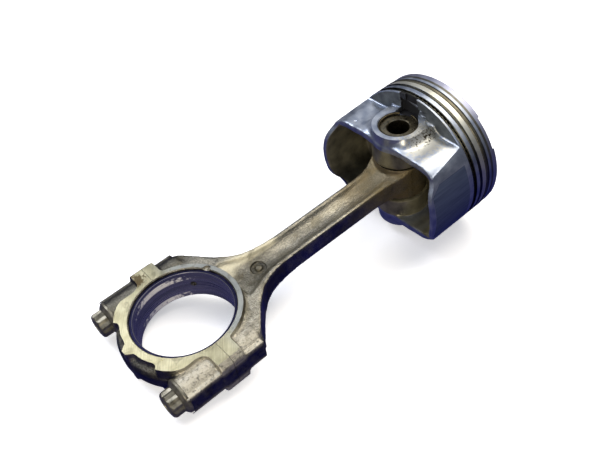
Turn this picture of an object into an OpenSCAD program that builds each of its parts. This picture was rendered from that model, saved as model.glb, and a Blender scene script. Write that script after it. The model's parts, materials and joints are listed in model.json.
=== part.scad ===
// Engine piston on its connecting rod, lying on its side as it rests on a bench.
// The origin is the centre of the crankshaft bore. In the rod's own frame +X runs
// along the rod to the piston, +Z runs along both bores and Y runs across the rod.
// The whole assembly is then raised at the piston end by rest_tilt, the angle at
// which the cap's edge and the ring belt's edge both touch a flat bench.

/* [Piston] */
// Diameter of the skirt, and of the rings in their bore
piston_d = 82; // [68:0.1:100]
// Height from the pin's axis to the crown
compression_h = 30.2; // [27:0.1:38]
// Height of the land above the top ring
top_land_h = 7.3; // [5:0.1:9]
// Height of the land between the top and the second ring
second_land_h = 3.1; // [2.5:0.1:5]
// Height of the land between the second ring and the oil ring
third_land_h = 2.6; // [1.8:0.1:3.2]
// Height of the land below the oil ring
bottom_land_h = 1.4; // [1.2:0.1:2.4]
// Thickness of the crown above the hollow
crown_t = 6.4; // [4:0.1:8]
// Thickness of the ring belt's wall, grooves included
belt_t = 7.5; // [6.5:0.1:10]
// Thickness of the skirt
skirt_t = 2.8; // [2:0.1:5]
// Distance that the skirt's middle reaches below the pin's axis
skirt_drop = 19.3; // [17:0.1:24]
// Distance that the side panels reach below the pin's axis
panel_drop = 13; // [13:0.1:16]
// Width over the two side panels
panel_span = 51; // [48:0.5:56]
// Thickness of a side panel
panel_t = 3.4; // [2.5:0.1:4]
// Wall of a pin boss round its bore
boss_wall = 3.475; // [2.5:0.005:4.5]
// Play between each pin boss and the rod's small end
boss_play = 1.3; // [0.4:0.1:2]
// Lip of a pin boss outside its circlip
boss_lip = 0.6; // [0.4:0.1:1.5]
// Depth of the valve pockets in the crown
valve_pocket_depth = 1.4; // [0.5:0.1:2]

/* [Rings] */
// Height of the top ring
top_ring_h = 1.5; // [1:0.1:1.75]
// Height of the second ring
second_ring_h = 1.5; // [1.2:0.1:1.75]
// Height of one oil rail
oil_rail_h = 0.5; // [0.4:0.05:0.6]
// Height of the oil expander between the rails
oil_expander_h = 1.2; // [1:0.1:1.6]
// Radial width of a ring
ring_t = 3; // [2.5:0.1:3.4]
// End gap of a ring in its bore
ring_gap = 0.9; // [0.3:0.1:2]

/* [Wrist pin] */
// Diameter of the wrist pin
pin_d = 20; // [16:0.1:24]
// Length of the wrist pin
pin_l = 57; // [54:0.5:58]
// Diameter of the hole through the wrist pin
pin_hole_d = 11.6; // [8:0.1:12.5]
// Wire diameter of the circlips
circlip_wire_d = 1.4; // [1:0.1:1.6]

/* [Rod] */
// Distance between the two bores
rod_l = 142; // [115:0.1:175]
// Width of the big end over its thrust faces
rod_w = 19.8; // [18:0.1:21]
// Diameter of the crankshaft bore inside the bearing shells
journal_d = 48; // [40:0.1:58]
// Wall of the bearing shells
shell_t = 1.5; // [1.2:0.1:2]
// Distance of the bearing shells' edges behind the thrust faces
shell_inset = 1.4; // [0.5:0.1:2.5]
// Width of the ring-shaped thrust faces
thrust_wall = 3; // [2:0.1:4]
// Wall of the forged ring between the thrust faces
strap_wall = 6.5; // [5.5:0.1:7.5]
// Width of the forged big end, below the machined faces
forged_w = 14.8; // [13:0.1:16]
// Width of the beam over its flanges
beam_w = 17.3; // [15:0.1:20]
// Thickness of the beam
beam_t = 10.8; // [9:0.1:12]
// Thickness of the web in the middle of the beam
web_t = 3.6; // [3:0.1:5]
// Width of the beam's pocket at its mouth
pocket_w = 12; // [10:0.1:13]
// Wall of the small end round its bush
small_end_wall = 2.5; // [2:0.1:4]
// Wall of the small end's bush
bush_t = 1.5; // [1:0.1:2]

/* [Cap and bolts] */
// Thread diameter of the rod bolts
bolt_d = 8; // [6.5:0.1:10]
// Wall between a bolt's thread and the bore for the shells
bolt_wall = 0.7; // [0.5:0.1:2]
// Wall of the bolt columns outside the thread
column_wall = 3.6; // [2.5:0.1:5]
// How far a bolt's flange reaches beyond its thread
flange_reach = 3.5; // [2:0.1:3.8]
// Distance of the bolts' seats from the parting line
seat_x = 23.5; // [20:0.1:25]
// How far the cap's centre lug stands out from the forged ring
lug_h = 0.5; // [0.3:0.1:2]

/* [Hidden] */
$fn = 96;

// Fits
running = 0.025;          // radial clearance of the wrist pin in bush and bosses
side_clear = 0.05;        // axial clearance of a ring on each side
land_drop = 0.25;         // how far the lands stand below the skirt
groove_back = 0.4;        // gap behind a ring
seat_gap = 0.1;           // gap between a circlip and its groove, and the pin's end
eps = 1;                  // how far a cutter runs past the face it cuts

// Radii and half widths
piston_r = piston_d / 2;
land_r = piston_r - land_drop;
groove_root_r = piston_r - ring_t - groove_back;
belt_inner_r = piston_r - belt_t;
pin_r = pin_d / 2;
pin_bore_r = pin_r + running;
bush_r = pin_r + bush_t;
small_end_r = bush_r + small_end_wall;
journal_r = journal_d / 2;
housing_r = journal_r + shell_t;
thrust_r = housing_r + thrust_wall;
pad_r = thrust_r + 4;     // the cap's ground pads beside its bolts
strap_r = housing_r + strap_wall;
lug_x = strap_r + lug_h;
rod_hw = rod_w / 2;
forged_hw = forged_w / 2;
beam_hw = beam_w / 2;
beam_ht = beam_t / 2;
panel_out = panel_span / 2;
panel_in = panel_out - panel_t;
panel_lean = 2;           // how far the panels lean in at the ring belt
hollow_hz = panel_in - panel_lean - 1;  // half height of the hollow under the crown, between the panels
post_lap = 0.6;           // how far a boss's post reaches into its panel

// Ring grooves, measured down from the crown and kept as heights above the pin's axis
top_groove_h = top_ring_h + 2 * side_clear;
second_groove_h = second_ring_h + 2 * side_clear;
oil_pack_h = 2 * oil_rail_h + oil_expander_h;
oil_groove_h = oil_pack_h + 2 * side_clear;
top_groove_low = compression_h - top_land_h - top_groove_h;
second_groove_low = top_groove_low - second_land_h - second_groove_h;
oil_groove_low = second_groove_low - third_land_h - oil_groove_h;
belt_low = oil_groove_low - bottom_land_h;

// The circlips sit just outside the pin's ends, and the bosses reach just past them
circlip_z = pin_l / 2 + seat_gap + circlip_wire_d / 2;
circlip_r = pin_bore_r - 0.1;
circlip_gap_a = 40;
boss_r = pin_bore_r + boss_wall;
boss_in = rod_hw + boss_play;
boss_out = circlip_z + circlip_wire_d / 2 + boss_lip;

// The assembly rests on the cap's lug and on the ring belt's lower edge
rest_tilt = atan((land_r - rod_hw) / (rod_l + belt_low + lug_x));

// Cap and rod block
bolt_y = housing_r + bolt_wall + bolt_d / 2;
flank_y = bolt_y + bolt_d / 2 + column_wall;
flank_ht = 3.6;           // half height of the flank's flat
block_x = 6.5;            // half length of the raised block at the parting line
block_y = flank_y - 2.2;  // where the block's top face ends
shoulder_x = 16.5;        // end of the bolt column on the rod side
bolt_clear = 0.3;         // clearance of the bolt in the cap
spot_clear = 0.4;         // clearance of its flange in the spot face
bolt_end_x = shoulder_x - 1;
waist_r = bolt_d / 2 - 0.4;
flange_r = bolt_d / 2 + flange_reach;
flange_t = 2.5;
head_r = bolt_d / 2 + 2.1;
head_h = 5.5;

// Beam
fillet_r = 38;            // sweep from the shoulders into the beam
fillet_x = strap_r + 28;  // where the sweep meets the beam
pocket_depth = (beam_t - web_t) / 2;
pocket_r = (pow(pocket_w / 2, 2) + pow(pocket_depth, 2)) / (2 * pocket_depth);
pocket_start = strap_r + 12;
pocket_end = rod_l - small_end_r - 9;

module lie() rotate([0, -rest_tilt, 0]) children();

module at_pin() translate([rod_l, 0, 0]) children();

// A round bar along X
module bar_x(x0, x1, r) translate([x0, 0, 0]) rotate([0, 90, 0]) cylinder(h = x1 - x0, r = r);

// A round bar along Z, centred on the middle plane
module bar_z(h, r) cylinder(h = h, r = r, center = true);

// A flat outline made into a plate, centred on the middle plane
module plate(h) linear_extrude(height = h, center = true) children();

// Both sides of the rod's centre line
module both_sides() for (s = [0, 1]) mirror([0, s, 0]) children();

// Both ends of the wrist pin
module both_bosses() for (s = [0, 1]) mirror([0, 0, s]) children();

// Everything on the rod's side of the parting line, or on the cap's
module rod_side() translate([0, -80, -40]) cube([260, 160, 80]);

module cap_side() translate([-80, -80, -40]) cube([80, 160, 80]);

// ---------------------------------------------------------------- connecting rod

function arc(cx, cy, r, a0, a1, n) =
    [for (i = [0 : n]) let (a = a0 + (a1 - a0) * i / n) [cx + r * cos(a), cy + r * sin(a)]];

// The shoulders and beam seen along the bores: a 45 degree shoulder runs into a long sweep
module shank_outline() {
    sweep = arc(fillet_x, beam_hw + fillet_r, fillet_r, 225, 270, 10);
    shoulder_y = sweep[0][1] + sweep[0][0] - shoulder_x;
    half = concat([[0, 0], [0, shoulder_y], [shoulder_x, shoulder_y]], sweep, [[rod_l, beam_hw], [rod_l, 0]]);
    polygon(half);
}

// The column that a bolt runs through, with sloping edges above and below its flank
module bolt_column(x0, x1)
    translate([x0, 0, 0]) rotate([90, 0, 90]) linear_extrude(height = x1 - x0)
        polygon([[housing_r - 3, -forged_hw], [flank_y - 4, -forged_hw], [flank_y, -flank_ht],
                 [flank_y, flank_ht], [flank_y - 4, forged_hw], [housing_r - 3, forged_hw]]);

// The raised block at the parting line, machined with the thrust faces
module parting_block()
    translate([-block_x, 0, 0]) rotate([90, 0, 90]) linear_extrude(height = 2 * block_x)
        polygon([[housing_r - 3, -rod_hw], [block_y, -rod_hw], [flank_y + 0.6, -rod_hw + 3],
                 [flank_y + 0.6, rod_hw - 3], [block_y, rod_hw], [housing_r - 3, rod_hw]]);

// A bar along a bolt's axis, used for the bolt and for its holes
module bolt_bar(x0, x1, r) translate([0, bolt_y, 0]) bar_x(x0, x1, r);

module beam_pocket() {
    translate([0, 0, web_t / 2 + pocket_r]) bar_x(pocket_start, pocket_end, pocket_r);
    translate([0, 0, web_t / 2 + 0.6]) linear_extrude(height = rod_w) pocket_mouth();
}

// The pocket opens out towards the big end
module pocket_mouth() {
    mouth_y = pocket_w / 2 - 0.6;
    polygon([[strap_r, -mouth_y - 4], [pocket_start + 2, -mouth_y + 0.6],
             [pocket_start + 2, mouth_y - 0.6], [strap_r, mouth_y + 4]]);
}

module connecting_rod() color("#8d8a7c") lie() difference() {
    union() {
        intersection() {
            union() {
                bar_z(forged_w, strap_r);
                bar_z(rod_w, thrust_r);
                both_sides() parting_block();
                both_sides() bolt_column(0, shoulder_x);
            }
            rod_side();
        }
        both_sides() plate(beam_t) shank_outline();
        at_pin() bar_z(rod_w, small_end_r);
    }
    bar_z(rod_w + eps, housing_r);
    both_bosses() beam_pocket();
    both_sides() bolt_bar(-eps, bolt_end_x, bolt_d / 2);
    at_pin() bar_z(rod_w + eps, bush_r);
}

function polar(r, a) = [r * cos(a), r * sin(a)];

// The cap's machined face widens from a thin ring into a shoulder beside each bolt
module cap_face()
    polygon([[0, 0], polar(thrust_r + 0.9, 172), polar(thrust_r + 0.8, 151), polar(pad_r, 146.5),
             polar(pad_r, 135), polar(pad_r, 125), [-block_x - 5, thrust_r - 1.9],
             [-block_x - 2, thrust_r - 1.2], [-block_x, thrust_r + 0.5], [-block_x, strap_r + 2], [0, strap_r + 2]]);

module cap_lug()
    polygon([[-housing_r, -4.5], [-lug_x + 2.2, -2.6], [-lug_x, -1.1], [-lug_x, 1.1],
             [-lug_x + 2.2, 2.6], [-housing_r, 4.5]]);

module rod_cap() color("#c9c59a") lie() difference() {
    intersection() {
        union() {
            bar_z(forged_w, strap_r);
            bar_z(rod_w, thrust_r);
            plate(rod_w) cap_lug();
            both_sides() plate(rod_w) cap_face();
            both_sides() parting_block();
            both_sides() bolt_column(-seat_x, 0);
        }
        cap_side();
    }
    bar_z(rod_w + eps, housing_r);
    both_sides() bolt_bar(-seat_x - eps, eps, bolt_d / 2 + bolt_clear);
    both_sides() bolt_bar(-lug_x - eps, -seat_x, flange_r + spot_clear);
}

// Twelve-point flange bolt with a waisted shank
module rod_bolt(side) color("#55544a") lie() mirror([0, side, 0]) {
    bolt_bar(-seat_x - flange_t, -seat_x, flange_r);
    translate([-seat_x - flange_t - head_h, bolt_y, 0]) rotate([0, 90, 0]) for (a = [0, 30])
        rotate([0, 0, a]) cylinder(h = head_h, r = head_r, $fn = 6);
    bolt_bar(-seat_x, 1, waist_r);
    bolt_bar(1, bolt_end_x - 0.8, bolt_d / 2);
}

module shell_ring() difference() {
    bar_z(rod_w - 2 * shell_inset, housing_r);
    bar_z(rod_w, journal_r);
}

module rod_bearing_shell() color("#8f9096") lie() intersection() {
    shell_ring();
    rod_side();
}

module cap_bearing_shell() color("#8f9096") lie() intersection() {
    shell_ring();
    cap_side();
}

module small_end_bush() color("#9a7a3c") lie() at_pin() difference() {
    bar_z(rod_w, bush_r);
    bar_z(rod_w + eps, pin_bore_r);
}

// ---------------------------------------------------------------- wrist pin

module wrist_pin() color("#4a463a") lie() at_pin() difference() {
    bar_z(pin_l, pin_r);
    bar_z(pin_l + eps, pin_hole_d / 2);
}

module circlip() at_pin() translate([0, 0, circlip_z]) rotate([0, 0, 20 + circlip_gap_a / 2])
    rotate_extrude(angle = 360 - circlip_gap_a) translate([circlip_r, 0]) circle(d = circlip_wire_d, $fn = 32);

module circlip_upper() color("#3c3a34") lie() circlip();

module circlip_lower() color("#3c3a34") lie() mirror([0, 0, 1]) circlip();

// ---------------------------------------------------------------- piston

// Cuts a groove round the piston
module groove(x0, h, root_r) difference() {
    bar_x(x0, x0 + h, piston_r + eps);
    bar_x(x0 - eps, x0 + h + eps, root_r);
}

// The crown and ring belt. It is thick behind the rings, stands a little below the
// skirt, and is closed underneath beyond the panels
module ring_belt() difference() {
    bar_x(belt_low, compression_h, land_r);
    intersection() {
        bar_x(belt_low - eps, compression_h - crown_t, belt_inner_r);
        translate([0, -piston_d, -hollow_hz]) cube([compression_h, 2 * piston_d, 2 * hollow_hz]);
    }
}

// The skirt's lower edge is an arc: lowest in the middle, highest at the panels
module skirt_edge() {
    rise = skirt_drop - panel_drop;
    edge_r = (pow(panel_in, 2) + pow(rise, 2)) / (2 * rise);
    translate([edge_r - skirt_drop, 0, 0]) rotate([90, 0, 0])
        cylinder(h = 2 * piston_d, r = edge_r, center = true);
    translate([0, -piston_d, -panel_out]) cube([compression_h, 2 * piston_d, panel_span]);
}

module skirt() intersection() {
    difference() {
        bar_x(-skirt_drop, belt_low + 0.5, piston_r);
        bar_x(-skirt_drop - eps, belt_low + eps, piston_r - skirt_t);
    }
    translate([-skirt_drop, -piston_d, -panel_out]) cube([compression_h * 2, piston_d * 2, panel_span]);
    skirt_edge();
}

// A side panel runs up from its lower edge, then leans in to meet the belt's inner wall
module panel() {
    top_x = belt_low + 0.5;
    lean_x = top_x - panel_lean;
    intersection() {
        rotate([90, 0, 0]) linear_extrude(height = 2 * piston_d, center = true)
            polygon([[-panel_drop, panel_out], [lean_x, panel_out], [top_x, panel_out - panel_lean],
                     [top_x, panel_in - panel_lean], [lean_x - 1, panel_in], [-panel_drop, panel_in]]);
        bar_x(-skirt_drop, compression_h, piston_r);
    }
}

// A pin boss, with the post that ties it to the crown
module boss() {
    post_w = 19;
    translate([0, 0, boss_in]) cylinder(h = boss_out - boss_in, r = boss_r);
    translate([0, -post_w / 2, boss_in])
        cube([compression_h - crown_t / 2, post_w, panel_in + post_lap - boss_in]);
}

// Half-round notch that lets a pick reach behind the circlip
module removal_notch() rotate([0, 0, 20]) translate([pin_bore_r + 0.4, 0, circlip_z - circlip_wire_d])
    cylinder(h = 2 * boss_out, r = 2.3);

module circlip_groove() translate([0, 0, circlip_z])
    bar_z(circlip_wire_d + 2 * seat_gap, circlip_r + circlip_wire_d / 2 + seat_gap);

// Shallow pockets in the crown, one for each of four valves
module valve_pockets() {
    pocket_r = 14;
    pocket_y = piston_r - 12;
    for (a = [35, 145, 215, 325]) rotate([a, 0, 0])
        translate([compression_h - valve_pocket_depth, pocket_y, 0]) rotate([0, 90, 0])
            cylinder(h = valve_pocket_depth + eps, r = pocket_r);
}

// Oil scraped off the bore drains through holes at the back of the oil groove
module drain_holes() for (a = [20 : 40 : 340]) rotate([a, 0, 0])
    translate([oil_groove_low + oil_groove_h / 2, 0, 0]) cylinder(h = piston_r, r = 0.9);

module piston_body() color("#aab4c2") lie() at_pin() difference() {
    union() {
        ring_belt();
        skirt();
        both_bosses() panel();
        both_bosses() boss();
    }
    groove(oil_groove_low, oil_groove_h, groove_root_r);
    groove(second_groove_low, second_groove_h, groove_root_r);
    groove(top_groove_low, top_groove_h, groove_root_r);
    drain_holes();
    valve_pockets();
    bar_z(2 * boss_out + eps, pin_bore_r);
    both_bosses() circlip_groove();
    both_bosses() removal_notch();
}

// A split ring: its end gap is turned to angle a round the piston
module piston_ring(x0, h, outer_r, a) lie() at_pin() difference() {
    bar_x(x0, x0 + h, outer_r);
    bar_x(x0 - eps, x0 + h + eps, piston_r - ring_t);
    rotate([a, 0, 0]) translate([x0 - eps, 0, -ring_gap / 2]) cube([h + 2 * eps, piston_d, ring_gap]);
}

module top_ring() color("#6a6458") piston_ring(top_groove_low + side_clear, top_ring_h, piston_r, 200);

module second_ring() color("#57534a")
    piston_ring(second_groove_low + side_clear, second_ring_h, piston_r, 320);

module oil_rail_lower() color("#6a6458")
    piston_ring(oil_groove_low + side_clear, oil_rail_h, piston_r, 260);

module oil_expander() color("#3a3833")
    piston_ring(oil_groove_low + side_clear + oil_rail_h, oil_expander_h, piston_r - 0.6, 230);

module oil_rail_upper() color("#6a6458")
    piston_ring(oil_groove_low + side_clear + oil_rail_h + oil_expander_h, oil_rail_h, piston_r, 290);

connecting_rod();
rod_cap();
rod_bolt(1);  // rod_bolt_near
rod_bolt(0);  // rod_bolt_far
rod_bearing_shell();
cap_bearing_shell();
small_end_bush();
wrist_pin();
circlip_upper();
circlip_lower();
piston_body();
top_ring();
second_ring();
oil_rail_upper();
oil_expander();
oil_rail_lower();
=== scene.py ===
# %% [markdown]
# # A used piston on its connecting rod
# The real thing is three kinds of metal part. The rod and its cap are drop forged, so they
# have a soft, rounded skin, and then a few faces and bores are machined into that skin and
# come out flat and sharp. The piston is cast and turned. The pin, bolts, rings and shells are
# turned all over. Each piece below is made in the same order as in the works: first the
# rough shape, then its soft skin, then the cuts.

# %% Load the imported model
import json
import math

import bpy
from mathutils import Matrix, Vector


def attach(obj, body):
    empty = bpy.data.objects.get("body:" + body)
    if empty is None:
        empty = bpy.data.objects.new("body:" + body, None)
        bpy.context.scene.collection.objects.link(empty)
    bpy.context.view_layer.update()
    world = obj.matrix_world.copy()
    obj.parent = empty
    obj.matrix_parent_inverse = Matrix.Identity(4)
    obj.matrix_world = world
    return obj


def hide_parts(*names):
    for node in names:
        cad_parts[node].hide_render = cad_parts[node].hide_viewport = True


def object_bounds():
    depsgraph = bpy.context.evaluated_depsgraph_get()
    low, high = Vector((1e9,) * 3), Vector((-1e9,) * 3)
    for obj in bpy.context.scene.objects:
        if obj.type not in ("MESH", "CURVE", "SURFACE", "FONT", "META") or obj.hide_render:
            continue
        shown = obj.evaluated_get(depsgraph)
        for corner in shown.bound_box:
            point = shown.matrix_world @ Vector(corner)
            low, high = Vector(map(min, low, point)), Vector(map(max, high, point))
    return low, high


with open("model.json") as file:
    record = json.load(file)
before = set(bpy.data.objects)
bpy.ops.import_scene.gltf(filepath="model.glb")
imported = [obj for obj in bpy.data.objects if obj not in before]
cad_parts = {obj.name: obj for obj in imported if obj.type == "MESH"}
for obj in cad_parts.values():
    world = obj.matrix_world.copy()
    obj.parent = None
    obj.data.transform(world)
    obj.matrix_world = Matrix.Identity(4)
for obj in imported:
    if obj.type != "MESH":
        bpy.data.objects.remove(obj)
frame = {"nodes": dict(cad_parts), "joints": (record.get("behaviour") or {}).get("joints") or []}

cad_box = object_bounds()
mm = 0.001

# %% [markdown]
# ## Where things are
# The assembly lies on a bench and climbs a little towards the piston, because the piston is
# wider than the big end. Everything is modelled along the rod's own axes, where it is
# straight, and each finished piece is then laid down by the same angle. The angle, the place
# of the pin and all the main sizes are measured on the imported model.

# %% The rod's own axes, and a way to measure in them
swing = next(j for j in frame["joints"] if j["name"] == "piston_swing")
tilt = math.atan2(-swing["axis"][0], swing["axis"][2])
pin_x = Vector(swing["pos_m"]).length
lay_down = Matrix.Rotation(-tilt, 4, "Y")
stand_up = lay_down.inverted()


def rod_box(node):
    """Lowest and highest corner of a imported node, measured along the rod's own axes."""
    points = [stand_up @ v.co for v in frame["nodes"][node].data.vertices]
    low = Vector(min(p[i] for p in points) for i in range(3))
    high = Vector(max(p[i] for p in points) for i in range(3))
    return low, high


rod_high = rod_box("connecting_rod")[1]
cap_low = rod_box("rod_cap")[0]
shell_high = rod_box("rod_bearing_shell")[1]
bolt_low, bolt_high = rod_box("rod_bolt_far")
pin_high = rod_box("wrist_pin")[1]
bush_high = rod_box("small_end_bush")[1]
piston_low, piston_high = rod_box("piston_body")

half_width = rod_high.z
housing_r = shell_high.x
flank_y = rod_high.y
lug_x = -cap_low.x
bolt_y = (bolt_low.y + bolt_high.y) / 2
flange_r = (bolt_high.y - bolt_low.y) / 2
small_end_r = rod_high.x - pin_x
bush_r = bush_high.y
pin_r = pin_high.y
floor_z = cad_box[0][2]
print(f"tilt {math.degrees(tilt):.2f} degrees, pin at {pin_x / mm:.1f} mm")
print(f"big end {2 * half_width / mm:.1f} mm wide")

# %% [markdown]
# ## The camera
# The camera stands to the left of the big end and looks down at the rod at about forty
# degrees. It goes first, so that every trial picture is taken from the same place.

# %% Camera
view_turn = math.radians(-39.87)
view_height = math.radians(39.56)
view_roll = math.radians(-0.72)
view_distance = 390.2 * mm
view_target = Vector((78.4, 11.2, 10.0)) * mm

toward_camera = Vector((math.sin(view_turn) * math.cos(view_height),
                        -math.cos(view_turn) * math.cos(view_height),
                        math.sin(view_height)))
camera_data = bpy.data.cameras.new("camera")
camera_data.lens = 45.18
camera_data.sensor_width = 36
camera_data.clip_start = 0.01
camera = bpy.data.objects.new("camera", camera_data)
bpy.context.scene.collection.objects.link(camera)
turned = toward_camera.to_track_quat("Z", "Y").to_matrix().to_4x4()
camera.matrix_world = (Matrix.Translation(view_target + toward_camera * view_distance)
                       @ turned @ Matrix.Rotation(view_roll, 4, "Z"))
bpy.context.scene.camera = camera

# %% [markdown]
# ## The workshop's hand tools
# A few small helpers do what a modeller does by hand many times over: pick one object, add a
# round bar, join two solids, cut one out of another. The booleans use the Manifold solver,
# which is exact and quick on closed meshes.

# %% Picking, adding and shaping
ROUND = 160


def only(piece):
    """Makes one object the only selected and active one."""
    bpy.ops.object.select_all(action="DESELECT")
    piece.select_set(True)
    bpy.context.view_layer.objects.active = piece
    return piece


def placed():
    """Bakes the new primitive's place and turn into its mesh, and returns it."""
    piece = bpy.context.object
    only(piece)
    bpy.ops.object.transform_apply(location=True, rotation=True, scale=True)
    return piece


def edit_all():
    """Opens the active piece's mesh, with all of it selected."""
    bpy.ops.object.mode_set(mode="EDIT")
    bpy.ops.mesh.select_all(action="SELECT")


def pull(x, y, z):
    """Draws the selected faces out that far."""
    bpy.ops.mesh.extrude_region_move(TRANSFORM_OT_translate={"value": (x, y, z)})


def in_mm(points):
    """The same points, given in millimetres, in metres."""
    return [tuple(value * mm for value in point) for point in points]


def bar_z(middle, radius, half_length, corners=ROUND):
    """A round bar along Z."""
    bpy.ops.object.select_all(action="DESELECT")
    bpy.ops.mesh.primitive_cylinder_add(vertices=corners, radius=radius, depth=2 * half_length,
                                        location=middle)
    return placed()


def bar_x(start, end, y, radius, z=0.0, corners=ROUND):
    """A round bar along X, from start to end."""
    bpy.ops.object.select_all(action="DESELECT")
    bpy.ops.mesh.primitive_cylinder_add(vertices=corners, radius=radius, depth=end - start,
                                        location=((start + end) / 2, y, z), rotation=(0, math.pi / 2, 0))
    return placed()


def block(corner, opposite):
    """A box between two opposite corners."""
    low = Vector(map(min, corner, opposite))
    high = Vector(map(max, corner, opposite))
    bpy.ops.object.select_all(action="DESELECT")
    bpy.ops.mesh.primitive_cube_add(size=1, location=(low + high) / 2, scale=high - low)
    return placed()


def ball(middle, radii):
    """An egg with the given three radii."""
    bpy.ops.object.select_all(action="DESELECT")
    bpy.ops.mesh.primitive_uv_sphere_add(segments=48, ring_count=24, radius=1, location=middle,
                                         scale=radii)
    return placed()


def tidy(piece):
    """Merges doubles and turns all faces outwards."""
    only(piece)
    edit_all()
    bpy.ops.mesh.remove_doubles(threshold=0.002 * mm)
    bpy.ops.mesh.normals_make_consistent(inside=False)
    bpy.ops.object.mode_set(mode="OBJECT")
    return piece


def prism(outline, low_z, high_z):
    """A plate with the given outline: a disc with one corner for each point, drawn up."""
    bpy.ops.object.select_all(action="DESELECT")
    bpy.ops.mesh.primitive_circle_add(vertices=len(outline), radius=0.01, fill_type="NGON")
    piece = placed()
    for corner, (x, y) in zip(piece.data.vertices, outline):
        corner.co = (x, y, low_z)
    edit_all()
    pull(0, 0, high_z - low_z)
    bpy.ops.object.mode_set(mode="OBJECT")
    return tidy(piece)


def drawn_out(corners, stations, middle_z=0.0):
    """A bar along X whose section grows and shrinks. Each station is (x, half width, half height)."""
    x, half_y, half_z = stations[0]
    stretch = 1 / math.cos(math.pi / corners) if corners == 4 else 1
    bpy.ops.object.select_all(action="DESELECT")
    bpy.ops.mesh.primitive_circle_add(vertices=corners, radius=stretch, fill_type="NGON")
    piece = bpy.context.object
    piece.data.transform(Matrix.Rotation(math.pi / corners, 4, "Z"))
    piece.data.transform(Matrix(((0, 0, 1, x), (half_y, 0, 0, 0), (0, half_z, 0, middle_z), (0, 0, 0, 1))))
    edit_all()
    for next_x, next_y, next_z in stations[1:]:
        pull(next_x - x, 0, 0)
        bpy.ops.transform.resize(value=(1, next_y / half_y, next_z / half_z),
                                 center_override=(next_x, 0, middle_z))
        x, half_y, half_z = next_x, next_y, next_z
    bpy.ops.object.mode_set(mode="OBJECT")
    return tidy(piece)


def turned_part(profile, axis="Z", middle=(0, 0, 0), steps=ROUND):
    """A lathe: the closed profile of (radius, height) points is spun about the axis."""
    bpy.ops.object.select_all(action="DESELECT")
    bpy.ops.mesh.primitive_circle_add(vertices=len(profile), radius=0.01, fill_type="NOTHING")
    piece = placed()
    for corner, (radius, height) in zip(piece.data.vertices, profile):
        corner.co = (radius, 0, height)
    edit_all()
    bpy.ops.mesh.spin(steps=steps, angle=2 * math.pi, center=(0, 0, 0), axis=(0, 0, 1))
    bpy.ops.object.mode_set(mode="OBJECT")
    tidy(piece)
    if axis == "X":
        piece.data.transform(Matrix.Rotation(math.pi / 2, 4, "Y"))
    piece.data.transform(Matrix.Translation(middle))
    return piece


# %% Joining and cutting
def boolean(piece, tool, operation):
    change = piece.modifiers.new(operation.lower(), "BOOLEAN")
    change.operation = operation
    change.object = tool
    change.solver = "MANIFOLD"
    only(piece)
    bpy.ops.object.modifier_apply(modifier=change.name)
    bpy.data.objects.remove(tool)
    return piece


def join(piece, *others):
    for other in others:
        boolean(piece, other, "UNION")
    return piece


def cut(piece, *tools):
    for tool in tools:
        boolean(piece, tool, "DIFFERENCE")
    return piece


def keep_inside(piece, tool):
    return boolean(piece, tool, "INTERSECT")


def forged_skin(piece, grain, passes):
    """Remeshes a rough solid into even small faces and relaxes them, which rounds every edge."""
    skin = piece.modifiers.new("skin", "REMESH")
    skin.mode = "VOXEL"
    skin.voxel_size = grain
    relax = piece.modifiers.new("relax", "SMOOTH")
    relax.factor = 0.5
    relax.iterations = passes
    only(piece)
    bpy.ops.object.modifier_apply(modifier=skin.name)
    bpy.ops.object.modifier_apply(modifier=relax.name)
    return piece


def both_halves(upper):
    """A whole profile from its upper half."""
    return [(radius, -height) for radius, height in reversed(upper)] + upper


def bore_tool(middle, radius, half_length, chamfer):
    """A cutter along Z that leaves a chamfer at both mouths of a bore."""
    run_out = 4 * mm
    upper = [(radius, half_length - chamfer), (radius + chamfer + run_out, half_length + run_out),
             (0, half_length + run_out)]
    return turned_part(both_halves(upper), middle=middle)


def finish_piece(piece, name, body, nodes, sharp=30):
    """Lays the piece down beside its node, shades it and hangs it on its body."""
    piece.name = name
    piece.data.name = name
    piece.data.transform(lay_down)
    only(piece)
    bpy.ops.object.shade_smooth_by_angle(angle=math.radians(sharp))
    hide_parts(*nodes)
    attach(piece, body)
    print(f"{name}: {len(piece.data.polygons)} faces")
    return piece


# %% [markdown]
# ## The connecting rod
# A drop forging: a ring for the crankshaft, a shoulder on each side for the bolts, and a beam
# of I section that runs into the small end. The rough shape is joined from bars and blocks,
# and the skin helper rounds it. The bores, the thrust faces and the parting face are cut last,
# so they stay crisp, as they do on the real rod.

# %% Rough shape of the big end, on both sides of the parting line
strap_r = housing_r + 7.6 * mm
strap_half = 7.2 * mm
thrust_r = housing_r + 3 * mm
proud = half_width + 0.6 * mm
column_r = flank_y - bolt_y
block_half = 6.4 * mm
block_y = 35.6 * mm
block_bevel = 3 * mm
column_half = 5.6 * mm
column_round = 1.8 * mm


def big_end_ring():
    """The strap round the bore, with sloping shoulders, and the thrust ring standing out of it."""
    upper = [(strap_r, 2.8 * mm), (strap_r - 1.2 * mm, 5.0 * mm), (strap_r - 4.6 * mm, strap_half),
             (0, strap_half)]
    return join(turned_part(both_halves(upper)), bar_z((0, 0, 0), thrust_r, proud))


def bolt_column(start, end, side):
    """The column round a bolt, squarer on its outer side and rounded at the end away from the seat."""
    column = bar_x(start, end - column_round, side * bolt_y, column_r - 0.2 * mm)
    stub = bar_x(end - 3 * mm, end, side * bolt_y, column_r - 1.9 * mm)
    outer_side = block((start, side * (bolt_y - 3 * mm), -column_half),
                       (end - column_round, side * (flank_y - 0.3 * mm), column_half))
    return join(column, stub, outer_side)


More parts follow.
